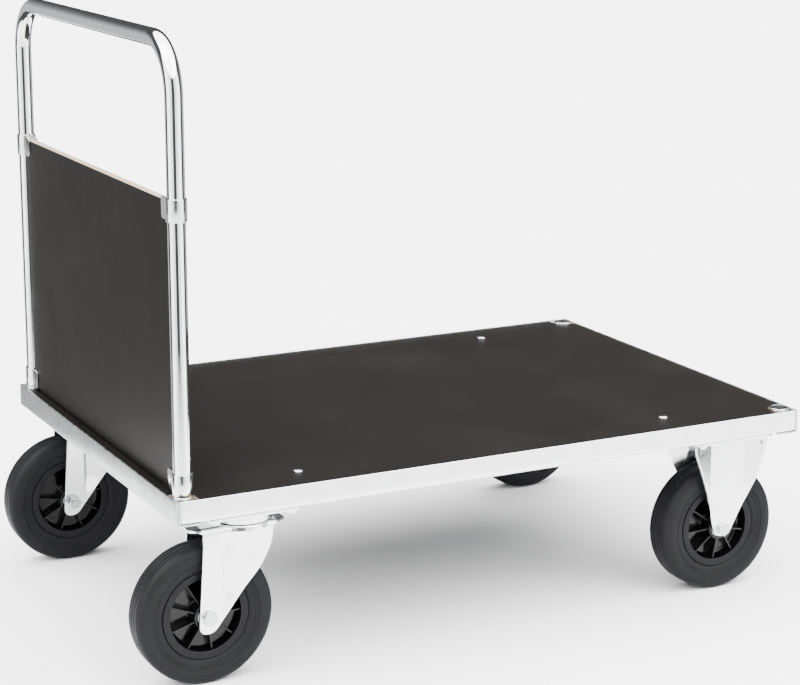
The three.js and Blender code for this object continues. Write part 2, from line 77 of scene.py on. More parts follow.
def add_node(tree, kind, inputs, **settings):
    """A new shader node with its settings made and its inputs linked or filled in."""
    made = tree.nodes.new(kind)
    for key, value in settings.items():
        setattr(made, key, value)
    for key, value in inputs.items():
        if isinstance(value, bpy.types.NodeSocket):
            tree.links.new(value, made.inputs[key])
        else:
            made.inputs[key].default_value = value
    return made


class Surface:
    """A procedural material while its nodes are being linked."""

    def __init__(self, name, **values):
        self.material = bpy.data.materials.new(name)
        self.material.use_nodes = True
        self.tree = self.material.node_tree
        self.shader = self.tree.nodes["Principled BSDF"]
        for socket, value in values.items():
            self.shader.inputs[socket.replace("_", " ")].default_value = value
        self.place = self.tree.nodes.new("ShaderNodeTexCoord").outputs["Object"]
        self.normal = None

    def node(self, kind, inputs, **settings):
        return add_node(self.tree, kind, inputs, **settings)

    def stretched(self, x, y, z):
        return self.node("ShaderNodeMapping", {"Vector": self.place, "Scale": (x, y, z)}).outputs[0]

    def noise(self, scale, detail=3.0, roughness=0.55, place=None):
        inputs = {
            "Vector": place or self.place, "Scale": scale, "Detail": detail, "Roughness": roughness,
        }
        return self.node("ShaderNodeTexNoise", inputs).outputs["Fac"]

    def cells(self, scale, place=None):
        return self.node("ShaderNodeTexVoronoi", {"Vector": place or self.place, "Scale": scale})

    def span(self, factor, low, high, start=0.3, end=0.7):
        inputs = {"Value": factor, "From Min": start, "From Max": end, "To Min": low, "To Max": high}
        return self.node("ShaderNodeMapRange", inputs).outputs["Result"]

    def ramp(self, factor, *stops):
        made = self.node("ShaderNodeValToRGB", {"Fac": factor})
        elements = made.color_ramp.elements
        while len(elements) < len(stops):
            elements.new(0.5)
        for element, (position, colour) in zip(elements, stops):
            element.position = position
            element.color = (*colour, 1.0)
        return made.outputs["Color"]

    def blend(self, factor, first, second, mode="MIX"):
        made = self.node("ShaderNodeMix", {}, data_type="RGBA", blend_type=mode)
        sockets = (made.inputs[0], made.inputs[6], made.inputs[7])
        for socket, value in zip(sockets, (factor, first, second)):
            if isinstance(value, bpy.types.NodeSocket):
                self.tree.links.new(value, socket)
            else:
                socket.default_value = value if isinstance(value, float) else (*value, 1.0)
        return made.outputs[2]

    def bump(self, height, distance, strength=1.0):
        inputs = {"Height": height, "Distance": distance, "Strength": strength}
        if self.normal:
            inputs["Normal"] = self.normal
        self.normal = self.node("ShaderNodeBump", inputs).outputs["Normal"]

    def finish(self, colour=None, roughness=None):
        ends = {"Base Color": colour, "Roughness": roughness, "Normal": self.normal}
        for socket, value in ends.items():
            if isinstance(value, bpy.types.NodeSocket):
                self.tree.links.new(value, self.shader.inputs[socket])
        return self.material


def zinc(name, light, dark, rough_low, rough_high):
    """Zinc plating: pale metal with soft blotches and fine rolling lines."""
    s = Surface(name, Metallic=1.0)
    blotches = s.noise(38.0, 5.0, 0.62)
    fine = s.noise(420.0, 2.0)
    rolled = s.noise(60.0, 3.0, place=s.stretched(0.12, 1.0, 6.0))
    colour = s.ramp(blotches, (0.32, dark), (0.68, light))
    colour = s.blend(s.span(rolled, 0.0, 0.12), colour, dark)
    rough = s.span(s.noise(95.0, 4.0), rough_low, rough_high)
    s.bump(fine, 0.00012, 0.2)
    s.bump(rolled, 0.0002, 0.12)
    return s.finish(colour, rough)


def chrome():
    """Chrome plating: a mirror with a faint haze."""
    s = Surface("chrome_plate", Metallic=1.0)
    haze = s.noise(55.0, 4.0)
    colour = s.ramp(haze, (0.3, (0.80, 0.81, 0.83)), (0.7, (0.90, 0.91, 0.92)))
    s.bump(s.noise(160.0, 2.0), 0.00004, 0.2)
    return s.finish(colour, s.span(haze, 0.03, 0.07))


def film_plywood():
    """Dark phenolic film: satin, with the veneer's grain faintly showing and small specks."""
    s = Surface("film_faced_plywood", Specular_IOR_Level=0.05)
    cloud = s.noise(6.0, 4.0)
    grain = s.noise(26.0, 4.0, 0.6, s.stretched(0.35, 9.0, 9.0))
    speck = s.cells(520.0).outputs["Distance"]
    colour = s.ramp(cloud, (0.3, (0.0056, 0.0048, 0.0044)), (0.7, (0.0070, 0.0060, 0.0055)))
    colour = s.blend(s.span(grain, 0.0, 0.22), colour, (0.0050, 0.0043, 0.0040))
    colour = s.blend(s.span(speck, 0.10, 0.0, 0.0, 0.14), colour, (0.03, 0.027, 0.025))
    s.bump(grain, 0.00022, 0.3)
    s.bump(s.noise(700.0, 2.0), 0.00006, 0.3)
    return s.finish(colour, s.span(cloud, 0.36, 0.46))


def plywood_edge(name, axis):
    """Sawn plywood edge: veneers in turn light and dark across the board's thickness."""
    s = Surface(name)
    veneer_pair = 0.0034
    dark_veneer = (0.24, 0.165, 0.105)
    pale_veneer = (0.40, 0.32, 0.24)
    part = s.node("ShaderNodeSeparateXYZ", {"Vector": s.place}).outputs[axis]
    wobble = s.noise(90.0, 3.0)
    turns = {0: part, 1: 2 * math.pi / veneer_pair}
    depth = s.node("ShaderNodeMath", turns, operation="MULTIPLY").outputs[0]
    shifted = s.node("ShaderNodeMath", {0: depth, 1: wobble}, operation="ADD").outputs[0]
    wave = s.node("ShaderNodeMath", {0: shifted}, operation="SINE").outputs[0]
    layers = s.ramp(s.span(wave, 0.0, 1.0, -0.6, 0.6), (0.0, dark_veneer), (1.0, pale_veneer))
    fibres = s.noise(900.0, 2.0)
    colour = s.blend(s.span(fibres, 0.0, 0.35), layers, (0.20, 0.14, 0.09))
    s.bump(fibres, 0.0003, 0.5)
    return s.finish(colour, s.span(fibres, 0.6, 0.8))


def rubber():
    """Solid rubber: dark grey, slightly dusty, with a fine skin."""
    s = Surface("tyre_rubber", Specular_IOR_Level=0.06)
    dust = s.noise(34.0, 5.0, 0.6)
    fine = s.noise(850.0, 2.0)
    colour = s.ramp(dust, (0.32, (0.0070, 0.0070, 0.0078)), (0.72, (0.0098, 0.0098, 0.0110)))
    colour = s.blend(s.span(fine, 0.0, 0.25), colour, (0.0054, 0.0054, 0.0060))
    s.bump(fine, 0.00015, 0.4)
    s.bump(dust, 0.0004, 0.15)
    return s.finish(colour, s.span(dust, 0.44, 0.58))


def rim_plastic(name, colour_low, colour_high, rough_low, rough_high, shine):
    """Moulded plastic with faint flow marks and a fine grain."""
    s = Surface(name, Specular_IOR_Level=shine)
    flow = s.noise(70.0, 3.0)
    colour = s.ramp(flow, (0.3, colour_low), (0.7, colour_high))
    s.bump(s.noise(1100.0, 2.0), 0.00004, 0.25)
    s.bump(flow, 0.0002, 0.12)
    return s.finish(colour, s.span(flow, rough_low, rough_high))


def machined_steel():
    """Turned steel: grey with fine rings."""
    s = Surface("machined_steel", Metallic=1.0)
    rings = s.noise(700.0, 2.0, place=s.stretched(0.2, 1.0, 0.2))
    colour = s.ramp(rings, (0.3, (0.50, 0.51, 0.52)), (0.7, (0.66, 0.67, 0.68)))
    s.bump(rings, 0.00006, 0.3)
    return s.finish(colour, s.span(rings, 0.25, 0.38))


def floor_paint():
    """Matt pale paint, very slightly clouded."""
    s = Surface("studio_floor", Specular_IOR_Level=0.0)
    cloud = s.noise(2.0, 3.0)
    colour = s.ramp(cloud, (0.3, (0.83, 0.83, 0.83)), (0.7, (0.86, 0.86, 0.86)))
    return s.finish(colour, s.span(cloud, 0.55, 0.65))


MATERIALS = {
    "zinc_bright": zinc(
        "zinc_bright_plating", (0.90, 0.905, 0.91), (0.80, 0.81, 0.815), 0.17, 0.26),
    # painted shade: a darker, rougher copy of the zinc plating for the end rails and cross members
    "zinc_matt": zinc("zinc_shaded_matt_plating", (0.62, 0.635, 0.64), (0.42, 0.435, 0.44), 0.24, 0.36),
    "zinc_clamp": zinc("zinc_clamp_plating", (0.80, 0.81, 0.815), (0.66, 0.67, 0.675), 0.13, 0.22),
    "zinc_bolt": zinc("zinc_bolt_plating", (0.58, 0.59, 0.595), (0.42, 0.43, 0.435), 0.12, 0.20),
    # painted shade: a dark copy of the zinc plating for the sockets' inner walls and the swivel crowns'
    # shaded tops
    "zinc_painted_shade": zinc("zinc_painted_shade_plating", (0.16, 0.165, 0.17), (0.08, 0.082, 0.085), 0.40, 0.55),
    "chrome_tube": chrome(),
    "film_plywood": film_plywood(),
    "deck_edge": plywood_edge("deck_edge_veneers", 2),
    "panel_edge": plywood_edge("panel_edge_veneers", 0),
    "rubber_tyre": rubber(),
    "rim_plastic": rim_plastic(
        "rim_black_gloss", (0.0012, 0.0012, 0.0014), (0.002, 0.002, 0.0023), 0.10, 0.17, 0.22),
    "rim_face": rim_plastic(
        "rim_grey_satin", (0.0050, 0.0050, 0.0056), (0.0072, 0.0072, 0.0080), 0.34, 0.46, 0.08),
    "seal_plastic": rim_plastic(
        "seal_dark", (0.006, 0.006, 0.007), (0.010, 0.010, 0.011), 0.45, 0.6, 0.1),
    "bearing_steel": machined_steel(),
}


# ---------------------------------------------------------------- mesh tools


def mesh_object(name, verts, faces):
    """A clean object from points and faces."""
    shape = raw_object(name, verts, faces)
    tidy(shape)
    return shape


def raw_object(name, verts, faces):
    mesh = bpy.data.meshes.new(name)
    mesh.from_pydata([tuple(v) for v in verts], [], faces)
    shape = bpy.data.objects.new(name, mesh)
    scene.collection.objects.link(shape)
    return shape


def tidy(shape, merge=1e-6):
    """Merges points closer than merge and turns every face outwards."""
    work = bmesh.new()
    work.from_mesh(shape.data)
    bmesh.ops.remove_doubles(work, verts=work.verts, dist=merge)
    bmesh.ops.recalc_face_normals(work, faces=work.faces)
    work.to_mesh(shape.data)
    work.free()


def settle(shape):
    """Applies the shape's modifiers to its mesh."""
    graph = bpy.context.evaluated_depsgraph_get()
    old = shape.data
    shape.data = bpy.data.meshes.new_from_object(shape.evaluated_get(graph))
    shape.modifiers.clear()
    bpy.data.meshes.remove(old)
    return shape


def combine(shape, tool, operation):
    """Joins, cuts or intersects shape with tool, which is used up."""
    change = shape.modifiers.new("combine", "BOOLEAN")
    change.object = tool
    change.operation = operation
    change.solver = "MANIFOLD"
    settle(shape)
    if not any(shape.data.materials):
        shape.data.materials.clear()
    bpy.data.objects.remove(tool)
    return shape


def soften(shape, width, segments=2, angle=32.0):
    """Rounds the sharp edges."""
    change = shape.modifiers.new("soften", "BEVEL")
    change.width = width
    change.segments = segments
    change.limit_method = "ANGLE"
    change.angle_limit = math.radians(angle)
    return settle(shape)


def place(shape, node, slot, materials=None, name=None, body=None, stands_for=True, smooth=32.0):
    """Names a finished shape, gives it its materials and joins it to the frame."""
    shape.name = name or node + "_detail"
    shape.data.name = shape.name
    if len(shape.data.materials) == 0:
        for material in materials or [MATERIALS[slot]]:
            shape.data.materials.append(material)
    for polygon in shape.data.polygons:
        polygon.use_smooth = True
    shape.data.set_sharp_from_angle(angle=math.radians(smooth))
    if stands_for:
        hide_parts(node)
    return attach(shape, body or body_of_node[node])


def copy_of(shape, matrix):
    """A second object with its own mesh, moved by matrix."""
    twin = shape.copy()
    twin.data = shape.data.copy()
    twin.data.transform(matrix)
    scene.collection.objects.link(twin)
    if matrix.determinant() < 0:
        twin.data.flip_normals()
    return twin


def rounded(points, steps=4):
    """Corner points (a, b, fillet radius) as an outline with those corners rounded."""
    outline = []
    for i, (a, b, radius) in enumerate(points):
        corner = Vector((a, b))
        to_last = Vector(points[i - 1][:2]) - corner
        to_next = Vector(points[(i + 1) % len(points)][:2]) - corner
        if radius == 0:
            outline.append(corner)
            continue
        half = to_last.angle(to_next) / 2
        reach = min(radius / math.tan(half), 0.49 * to_last.length, 0.49 * to_next.length)
        radius = reach * math.tan(half)
        middle = (to_last.normalized() + to_next.normalized()).normalized()
        centre = corner + middle * (radius / math.sin(half))
        start = corner + to_last.normalized() * reach - centre
        end = corner + to_next.normalized() * reach - centre
        for k in range(steps + 1):
            outline.append(centre + start.slerp(end, k / steps) * radius)
    return outline


def lift(a, b, c, axis):
    """A point of an outline (a, b) at c along the axis it is drawn across."""
    return {"X": (c, a, b), "Y": (a, c, b), "Z": (a, b, c)}[axis]


def prism(outline, axis, low, high):
    """An outline drawn across an axis, from low to high along it: a solid plate or bar."""
    count = len(outline)
    verts = [lift(p[0], p[1], c, axis) for c in (low, high) for p in outline]
    walls = [(i, (i + 1) % count, count + (i + 1) % count, count + i) for i in range(count)]
    ends = [tuple(range(count)), tuple(range(count, 2 * count))]
    return mesh_object("prism", verts, ends + walls)


def lathe(profile, axis, centre, segments=96):
    """A closed profile of (radius, height) points turned about an axis through centre."""
    verts = []
    for step in range(segments):
        angle = 2 * math.pi * step / segments
        for radius, height in profile:
            a, b = radius * math.cos(angle), radius * math.sin(angle)
            verts.append(Vector(lift(a, b, height, axis)) + Vector(centre))
    count = len(profile)
    faces = []
    for step in range(segments):
        ring, after = step * count, (step + 1) % segments * count
        for i in range(count):
            j = (i + 1) % count
            faces.append((ring + i, ring + j, after + j, after + i))
    return mesh_object("lathe", verts, faces)


def rod(axis, centre, radius, low, high, segments=32):
    """A plain round cutter along an axis; low and high are offsets from centre."""
    return lathe([(0, low), (radius, low), (radius, high), (0, high)], axis, centre, segments)


def ring_profile(inner, outer, low, high, fillet):
    """The section of a plain ring with rounded edges."""
    corners = [(inner, low), (outer, low), (outer, high), (inner, high)]
    return rounded([(r, h, fillet) for r, h in corners], 3)


def middle_of(node):
    low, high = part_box(node)
    return (low + high) / 2


# ---------------------------------------------------------------- frame and deck

deck_low, deck_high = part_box("deck_board")
socket_low, socket_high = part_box("corner_socket_front_left")
REAR_RAIL_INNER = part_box("end_rail_rear")[1].x
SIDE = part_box("end_rail_rear")[1].y
MEMBER_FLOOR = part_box("side_rail_left")[0].z + RAIL_SHEET
SOCKET_RADIUS = (socket_high.x - socket_low.x) / 2


def rail_section(outer, inner, web, low, high):
    """A web with a flange folded inwards at its foot, drawn across the rail."""
    edge, hem, outer_bend, inner_bend = 0.0007, 0.0006, 0.0042, 0.0017
    return rounded([
        (outer, high.z, edge), (outer, low.z, outer_bend), (inner, low.z, hem),
        (inner, low.z + RAIL_SHEET, hem), (web, low.z + RAIL_SHEET, inner_bend), (web, high.z, edge),
    ])


def side_rail(hand):
    """Folded rail whose flange is cut away where it stands on the end rails' flanges."""
    node = f"side_rail_{hand}"
    low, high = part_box(node)
    s = HANDS[hand]
    outer = s * SIDE
    inner = outer - s * (high.y - low.y)
    web = outer - s * RAIL_SHEET
    corner = 0.0055
    rail = prism(rail_section(outer, inner, web, low, high), "X", low.x, high.x)
    face = rounded([
        (low.x, high.z + CUT_MARGIN, 0), (low.x, low.z, corner),
        (high.x, low.z, corner), (high.x, high.z + CUT_MARGIN, 0),
    ])
    combine(rail, prism(face, "Y", -SIDE - CUT_MARGIN, SIDE + CUT_MARGIN), "INTERSECT")
    step = REAR_RAIL_INNER + 0.0003 - low.x
    past_inner, short_of_web = inner - s * CUT_MARGIN, web - s * 0.0001
    for x0, x1 in ((low.x - CUT_MARGIN, low.x + step), (high.x - step, high.x + CUT_MARGIN)):
        clear = [(x0, past_inner), (x1, past_inner), (x1, short_of_web), (x0, short_of_web)]
        combine(rail, prism(clear, "Z", low.z - CUT_MARGIN, high.z + CUT_MARGIN), "DIFFERENCE")
    place(rail, node, "zinc_bright")


def end_rail(end):
    """Folded end rail: web, bottom flange, and a short return folded round each corner."""
    node = f"end_rail_{end}"
    low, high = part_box(node)
    outer, inner = (low.x, high.x) if end == "rear" else (high.x, low.x)
    d = 1 if end == "rear" else -1
    web = outer + d * RAIL_SHEET
    tab_start, tab_end, corner = outer + d * 0.001, outer + d * 0.006, 0.004
    rail = prism(rail_section(outer, inner, web, low, high), "Y", -SIDE, SIDE)
    for s in HANDS.values():
        outside, inside = s * SIDE, s * (SIDE - RAIL_SHEET)
        tab = [(tab_start, inside), (tab_start, outside), (tab_end, outside), (tab_end, inside)]
        tab = prism(tab, "Z", low.z + 0.0005, high.z - 0.0002)
        combine(rail, soften(tab, 0.0004), "UNION")
    past_inner = inner + d * CUT_MARGIN
    footprint = rounded([
        (outer, -SIDE, corner), (outer, SIDE, corner), (past_inner, SIDE, 0), (past_inner, -SIDE, 0),
    ], 6)
    combine(rail, prism(footprint, "Z", low.z - CUT_MARGIN, high.z + CUT_MARGIN), "INTERSECT")
    # painted shade: the end rail gets the darker zinc copy
    place(rail, node, "zinc_matt")


def deck_board():
    """Film-faced board with a round-cornered notch at each socket."""
    outline = []
    reach = SOCKET_RADIUS + 0.0015
    steps = 12
    for end, hand in (("rear", "right"), ("front", "right"), ("front", "left"), ("rear", "left")):
        dx = 1 if end == "rear" else -1
        dy = -HANDS[hand]
        centre = middle_of(f"corner_socket_{end}_{hand}")
        x_edge = deck_low.x if end == "rear" else deck_high.x
        y_edge = deck_low.y if hand == "right" else deck_high.y
        arc = []
        for k in range(steps + 1):
            angle = math.radians(90 * k / steps)
            across, along = reach * math.sin(angle), reach * math.cos(angle)
            arc.append((centre.x + dx * across, centre.y + dy * along))
        notch = [(x_edge, centre.y + dy * reach), *arc, (centre.x + dx * reach, y_edge)]
        outline += notch if dx * dy > 0 else notch[::-1]
    board = prism(outline, "Z", deck_low.z, deck_high.z)
    face_materials(board, 2, "deck_edge")
    place(board, "deck_board", "film_plywood")


def face_materials(board, axis, edge):
    """Film on the two broad faces and bare veneers on the edges."""
    board.data.materials.append(MATERIALS["film_plywood"])
    board.data.materials.append(MATERIALS[edge])
    for polygon in board.data.polygons:
        polygon.material_index = 0 if abs(polygon.normal[axis]) > 0.7 else 1


def cross_member(end):
    """The channel under the deck keeps its CAD shape."""
    node = f"cross_member_{end}"
    # painted shade: the darker zinc copy
    paint(node, "zinc_matt")


def paint(node, slot):
    """Keeps a CAD node's shape and gives it a finished material."""
    shown = frame["nodes"][node]
    shown.data.materials.clear()
    shown.data.materials.append(MATERIALS[slot])


def corner_socket(end, hand):
    """An open round socket, its inner wall painted dark as shade."""
    node = f"corner_socket_{end}_{hand}"
    low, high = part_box(node)
    centre = (low + high) / 2
    wall, edge = 0.002, 0.0006
    foot, rim = low.z - centre.z, high.z - centre.z
    profile = ring_profile(SOCKET_RADIUS - wall, SOCKET_RADIUS, foot, rim, edge)
    socket = lathe(profile, "Z", centre, 64)
    socket.data.materials.append(MATERIALS["zinc_bright"])
    socket.data.materials.append(MATERIALS["zinc_painted_shade"])
    # painted shade: faces on the inner wall get the dark zinc copy
    for polygon in socket.data.polygons:
        radius = math.hypot(polygon.center.x - centre.x, polygon.center.y - centre.y)
        polygon.material_index = 1 if radius < SOCKET_RADIUS - 0.8 * wall else 0
    place(socket, node, "zinc_bright")


def deck_bolt(end, hand):
    """Round-headed bolt with a nut under the cross member's top."""
    node = f"deck_bolt_{end}_{hand}"
    low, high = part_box(node)
    centre = Vector(((low.x + high.x) / 2, (low.y + high.y) / 2, 0))
    seat = deck_high.z + 0.0001
    head, shank, chamfer = 0.008, 0.004, 0.0004
    rim, crown = 0.0008, 0.0025
    nut_flats, nut_height, nut_bore = 0.013, 0.0065, 0.0039
    dome = []
    for degrees in range(0, 90, 10):
        angle = math.radians(degrees)
        dome.append((head * math.cos(angle), seat + rim + crown * math.sin(angle)))
    profile = [
        (0, low.z), (shank - chamfer, low.z), (shank, low.z + chamfer), (shank, seat), (head, seat),
        *dome, (0, seat + rim + crown),
    ]
    bolt = lathe(profile, "Z", centre, 48)
    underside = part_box("cross_member_rear")[1].z - RAIL_SHEET
    nut_seat = centre + Vector((0, 0, underside - nut_height - 0.0001))
    nut = hex_nut("Z", nut_seat, nut_flats, nut_height, nut_bore)
    place(combine(bolt, nut, "UNION"), node, "zinc_bright", [MATERIALS["zinc_bolt"]])


def hexagon(flats):
    radius = flats / math.sqrt(3)
    angles = [math.radians(degrees) for degrees in range(0, 360, 60)]
    return [(radius * math.cos(a), radius * math.sin(a)) for a in angles]


def hex_head(axis, seat, flats, height, direction=1):
    """A hexagon whose outer face is chamfered to a circle, standing on seat along axis."""
    block = prism(hexagon(flats), axis, 0, height)
    inner, outer = flats * 0.475, flats * 0.62
    drop = (outer - inner) * 0.5
    cone = [(0, -0.001), (outer, -0.001), (outer, height - drop), (inner, height), (0, height)]
    combine(block, lathe(cone, axis, (0, 0, 0), 48), "INTERSECT")
    if direction < 0:
        block.data.transform(Matrix.Rotation(math.pi, 4, "X"))
    block.data.transform(Matrix.Translation(seat))
    return soften(block, 0.0003, 2, 25)


def hex_nut(axis, seat, flats, height, bore, direction=1):
    nut = hex_head(axis, seat, flats, height, direction)
    reach = height + 0.002
    return combine(nut, rod(axis, seat, bore, -reach, reach), "DIFFERENCE")


# ---------------------------------------------------------------- end frame


def handle_tube():
    """One tube: two posts and two bends, open at its lower ends."""
    low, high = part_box("handle_tube")
    wall, bend = 0.002, 0.072
    segments, bend_steps = 48, 24
    radius = (high.x - low.x) / 2
    post_x = (low.x + high.x) / 2
    post_y = high.y - radius
    top = high.z - radius
    line = [(-post_y, low.z, 0.0, 1.0)]
    for s, first in ((-1, 180), (1, 90)):
        for k in range(bend_steps + 1):
            angle = math.radians(first - 90 * k / bend_steps)
            y = s * (post_y - bend) + bend * math.cos(angle)
            z = top - bend + bend * math.sin(angle)
            line.append((y, z, math.sin(angle), -math.cos(angle)))
    line.append((post_y, low.z, 0.0, -1.0))
    verts = []
    for y, z, towards_y, towards_z in line:
        for size in (radius, radius - wall):
            for k in range(segments):
                angle = 2 * math.pi * k / segments
                along_x, across = size * math.cos(angle), size * math.sin(angle)
                verts.append((post_x + along_x, y + across * towards_z, z - across * towards_y))
    faces = []
    row_length = 2 * segments
    for row in range(len(line) - 1):
        for skin in (0, segments):
            start = row_length * row + skin
            faces += strip(start, start + row_length, segments)
    for start in (0, row_length * (len(line) - 1)):
        faces += strip(start, start + segments, segments)
    place(mesh_object("tube", verts, faces), "handle_tube", "chrome_tube", smooth=50)


def strip(start, after, count):
    """Faces between two closed rings of count points each."""
    faces = []
    for k in range(count):
        m = (k + 1) % count
        faces.append((start + k, start + m, after + m, after + k))
    return faces


def end_panel():
    """The board between the posts, with bare edges."""
    low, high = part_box("end_panel")
    corner = 0.002
    corners = [(low.y, low.z), (high.y, low.z), (high.y, high.z), (low.y, high.z)]
    panel = prism(rounded([(y, z, corner) for y, z in corners]), "X", low.x, high.x)
    face_materials(panel, 0, "panel_edge")
    soften(panel, 0.0004, 1)
    place(panel, "end_panel", "film_plywood")


def panel_clamp(level, hand):
    """A sheet band round the post, with two flanges that grip the panel."""
    node = f"panel_clamp_{level}_{hand}"
    low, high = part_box(node)
    s = HANDS[hand]
    sheet, corner, beyond, steps = 0.0018, 0.006, 0.03, 32
    radius = (high.x - low.x) / 2
    centre_x = (low.x + high.x) / 2
    centre_y = (high.y - radius) if s > 0 else (low.y + radius)
    tip = low.y if s > 0 else high.y
    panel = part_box("end_panel")
    near = (panel[1].x - panel[0].x) / 2 + 0.0003
    skins = []
    for size, edge in ((radius, near + sheet), (radius - sheet, near)):
        opening = math.acos(edge / size)
        arc = []
        for k in range(steps + 1):
            angle = math.pi - opening + (math.pi + 2 * opening) * k / steps
            arc.append((centre_x + size * math.cos(angle), centre_y - s * size * math.sin(angle)))
        skins.append([(centre_x - edge, tip), *arc, (centre_x + edge, tip)])
    band = prism(skins[0] + skins[1][::-1], "Z", low.z, high.z)
    side = rounded([
        (centre_y + s * beyond, low.z - 0.001, 0), (tip, low.z, corner),
        (tip, high.z, corner), (centre_y + s * beyond, high.z + 0.001, 0),
    ])
    combine(band, prism(side, "X", centre_x - beyond, centre_x + beyond), "INTERSECT")
    soften(band, 0.0004)
    place(band, node, "zinc_matt", [MATERIALS["zinc_clamp"]])


# ---------------------------------------------------------------- casters


def leg_limits(corners):
    """The leading and trailing edge of a leg at a height, from the corners of its side outline."""
    outline = rounded(corners, 12)
    pairs = list(zip(outline, outline[1:] + outline[:1]))

    def edges(z):
        hits = [p.x + (q.x - p.x) * (z - p.y) / (q.y - p.y) for p, q in pairs if (p.y - z) * (q.y - z) < 0]
        return min(hits), max(hits)

    return edges, min(point.y for point in outline)


def rise(value, start, end):
    """0 at start, 1 at end, and straight between them."""
    return min(max((value - start) / (end - start), 0.0), 1.0)


def ease(value, start, end):
    """Like rise, but level at both ends."""
    share = rise(value, start, end)
    return share * share * (3 - 2 * share)


def crease(x, fold):
    """Depth of the narrow pressed line along a fold."""
    return 0.0007 * (1 - ease(abs(x - fold), 0.0, 0.0022))


def sheet_solid(rows, thickness):
    """A pressed sheet from rows of points on its outer skin."""
    count = len(rows[0])
    verts = [point for row in rows for point in row]
    starts = [r * count + i for r in range(len(rows) - 1) for i in range(count - 1)]
    faces = [(k, k + 1, k + count + 1, k + count) for k in starts]
    shape = raw_object("sheet", verts, faces)
    tidy(shape, 2e-5)
    thick = shape.modifiers.new("thickness", "SOLIDIFY")
    thick.thickness = thickness
    thick.offset = -1.0
    thick.use_even_offset = True
    settle(shape)
    tidy(shape)
    return shape


def pressed_legs(limits, half_width, top, shoulder, crown_limits):
    """Both legs and the bridge over the wheel, as one bent sheet."""
    edges, bottom = limits
    spring = top - shoulder
    columns, leg_rows, bend_rows, flat_rows = 40, 46, 8, 5
    crowding = 1.6  # rows lie closer together near the rounded foot

    def row(ends, y_at, z):
        x0, x1 = ends
        xs = [x0 + (x1 - x0) * i / columns for i in range(columns + 1)]
        return [(x, y_at(x), z) for x in xs]

    half = []
    for r in range(leg_rows + 1):
        z = bottom + 0.00005 + (spring - bottom) * (r / leg_rows) ** crowding
        half.append(row(edges(z), lambda x: half_width(x, z), z))
    for k in range(1, bend_rows + 1):
        angle = math.radians(90 * k / bend_rows)
        inset = shoulder * (1 - math.cos(angle))
        ends = crown_limits(k / bend_rows)
        z = spring + shoulder * math.sin(angle)
        half.append(row(ends, lambda x: half_width(x, spring) - inset, z))
    for k in range(1, flat_rows + 1):
        share = 1 - k / flat_rows
        half.append(row(crown_limits(1.0), lambda x: (half_width(x, spring) - shoulder) * share, top))
    other = [[(x, -y, z) for x, y, z in points] for points in half[:-1]]
    return sheet_solid(half + other[::-1], PRESSED_SHEET)


def swivel_fork(hand):
    """Crown, ball seat and two raked legs, pressed from one sheet."""
    node = f"swivel_fork_rear_{hand}"
    pin = middle_of(f"kingpin_rear_{hand}")
    axle = middle_of(f"axle_tube_rear_{hand}")
    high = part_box(node)[1]
    top = high.z
    crown = high.y - pin.y
    fold = -0.042
    heel = 0.0695  # from the kingpin back to the legs' trailing edge at the top
    limits = leg_limits([
        (-0.0688, top + CUT_MARGIN, 0), (-heel, 0.2175, 0), (-0.0785, 0.078, 0.011),
        (-0.0575, 0.077, 0.018), (0.0135, 0.1665, 0.05), (0.0285, 0.194, 0.04),
        (0.0318, 0.2135, 0.02), (0.033, top + CUT_MARGIN, 0),
    ])

    def half_width(x, z):
        bulge = max(math.sqrt(max(crown ** 2 - x ** 2, 0.0)) - LEGS_HALF_WIDTH, 0.0)
        sunk = ease(x, fold, fold + 0.0025) * rise(x, -0.004, fold)
        recess = 0.0032 * sunk * (1 - ease(z, 0.205, 0.218)) * ease(z, 0.108, 0.14)
        swell = 0.0030 * ease(x, -0.012, 0.006) * ease(z, 0.125, 0.165)
        recess += crease(x, fold) * ease(z, 0.118, 0.14)
        return LEGS_HALF_WIDTH + max(bulge * ease(z, 0.18, top - 0.004), swell) - recess

    def crown_limits(progress):
        lip = 0.0195 * progress
        return -heel - lip, 0.0325 + lip

    fork = pressed_legs(limits, half_width, top - 0.0002, 0.008, crown_limits)
    bore, edge, sheet, depth = 0.0086, 0.0006, 0.0044, 0.0105
    dish = rounded([
        (bore, top - sheet, 0.0004), (crown - sheet, top - sheet, 0.003),
        (crown - sheet, top - depth, 0.0005), (crown - edge, top - depth, 0.0005),
        (crown - edge, top, 0.0042), (bore, top, 0.0004),
    ])
    combine(fork, lathe(dish, "Z", (0, 0, 0), 96), "UNION")
    drill_axle(fork, (axle.x - pin.x, 0, axle.z))
    soften(fork, 0.0005, 2, 50)
    fork.data.materials.append(MATERIALS["zinc_bright"])
    fork.data.materials.append(MATERIALS["zinc_painted_shade"])
    # painted shade: the crown's rear lip and the top of its nose get the dark zinc copy, standing in for
    # the shade under the plate
    for polygon in fork.data.polygons:
        spot = polygon.center
        lip = spot.x > 0.0375 or (spot.x < -0.0715 and polygon.normal.z > 0.5)
        polygon.material_index = 1 if lip and spot.z > 0.215 else 0
    fork.data.transform(Matrix.Translation((pin.x, pin.y, 0)))
    place(fork, node, "zinc_bright", smooth=40)


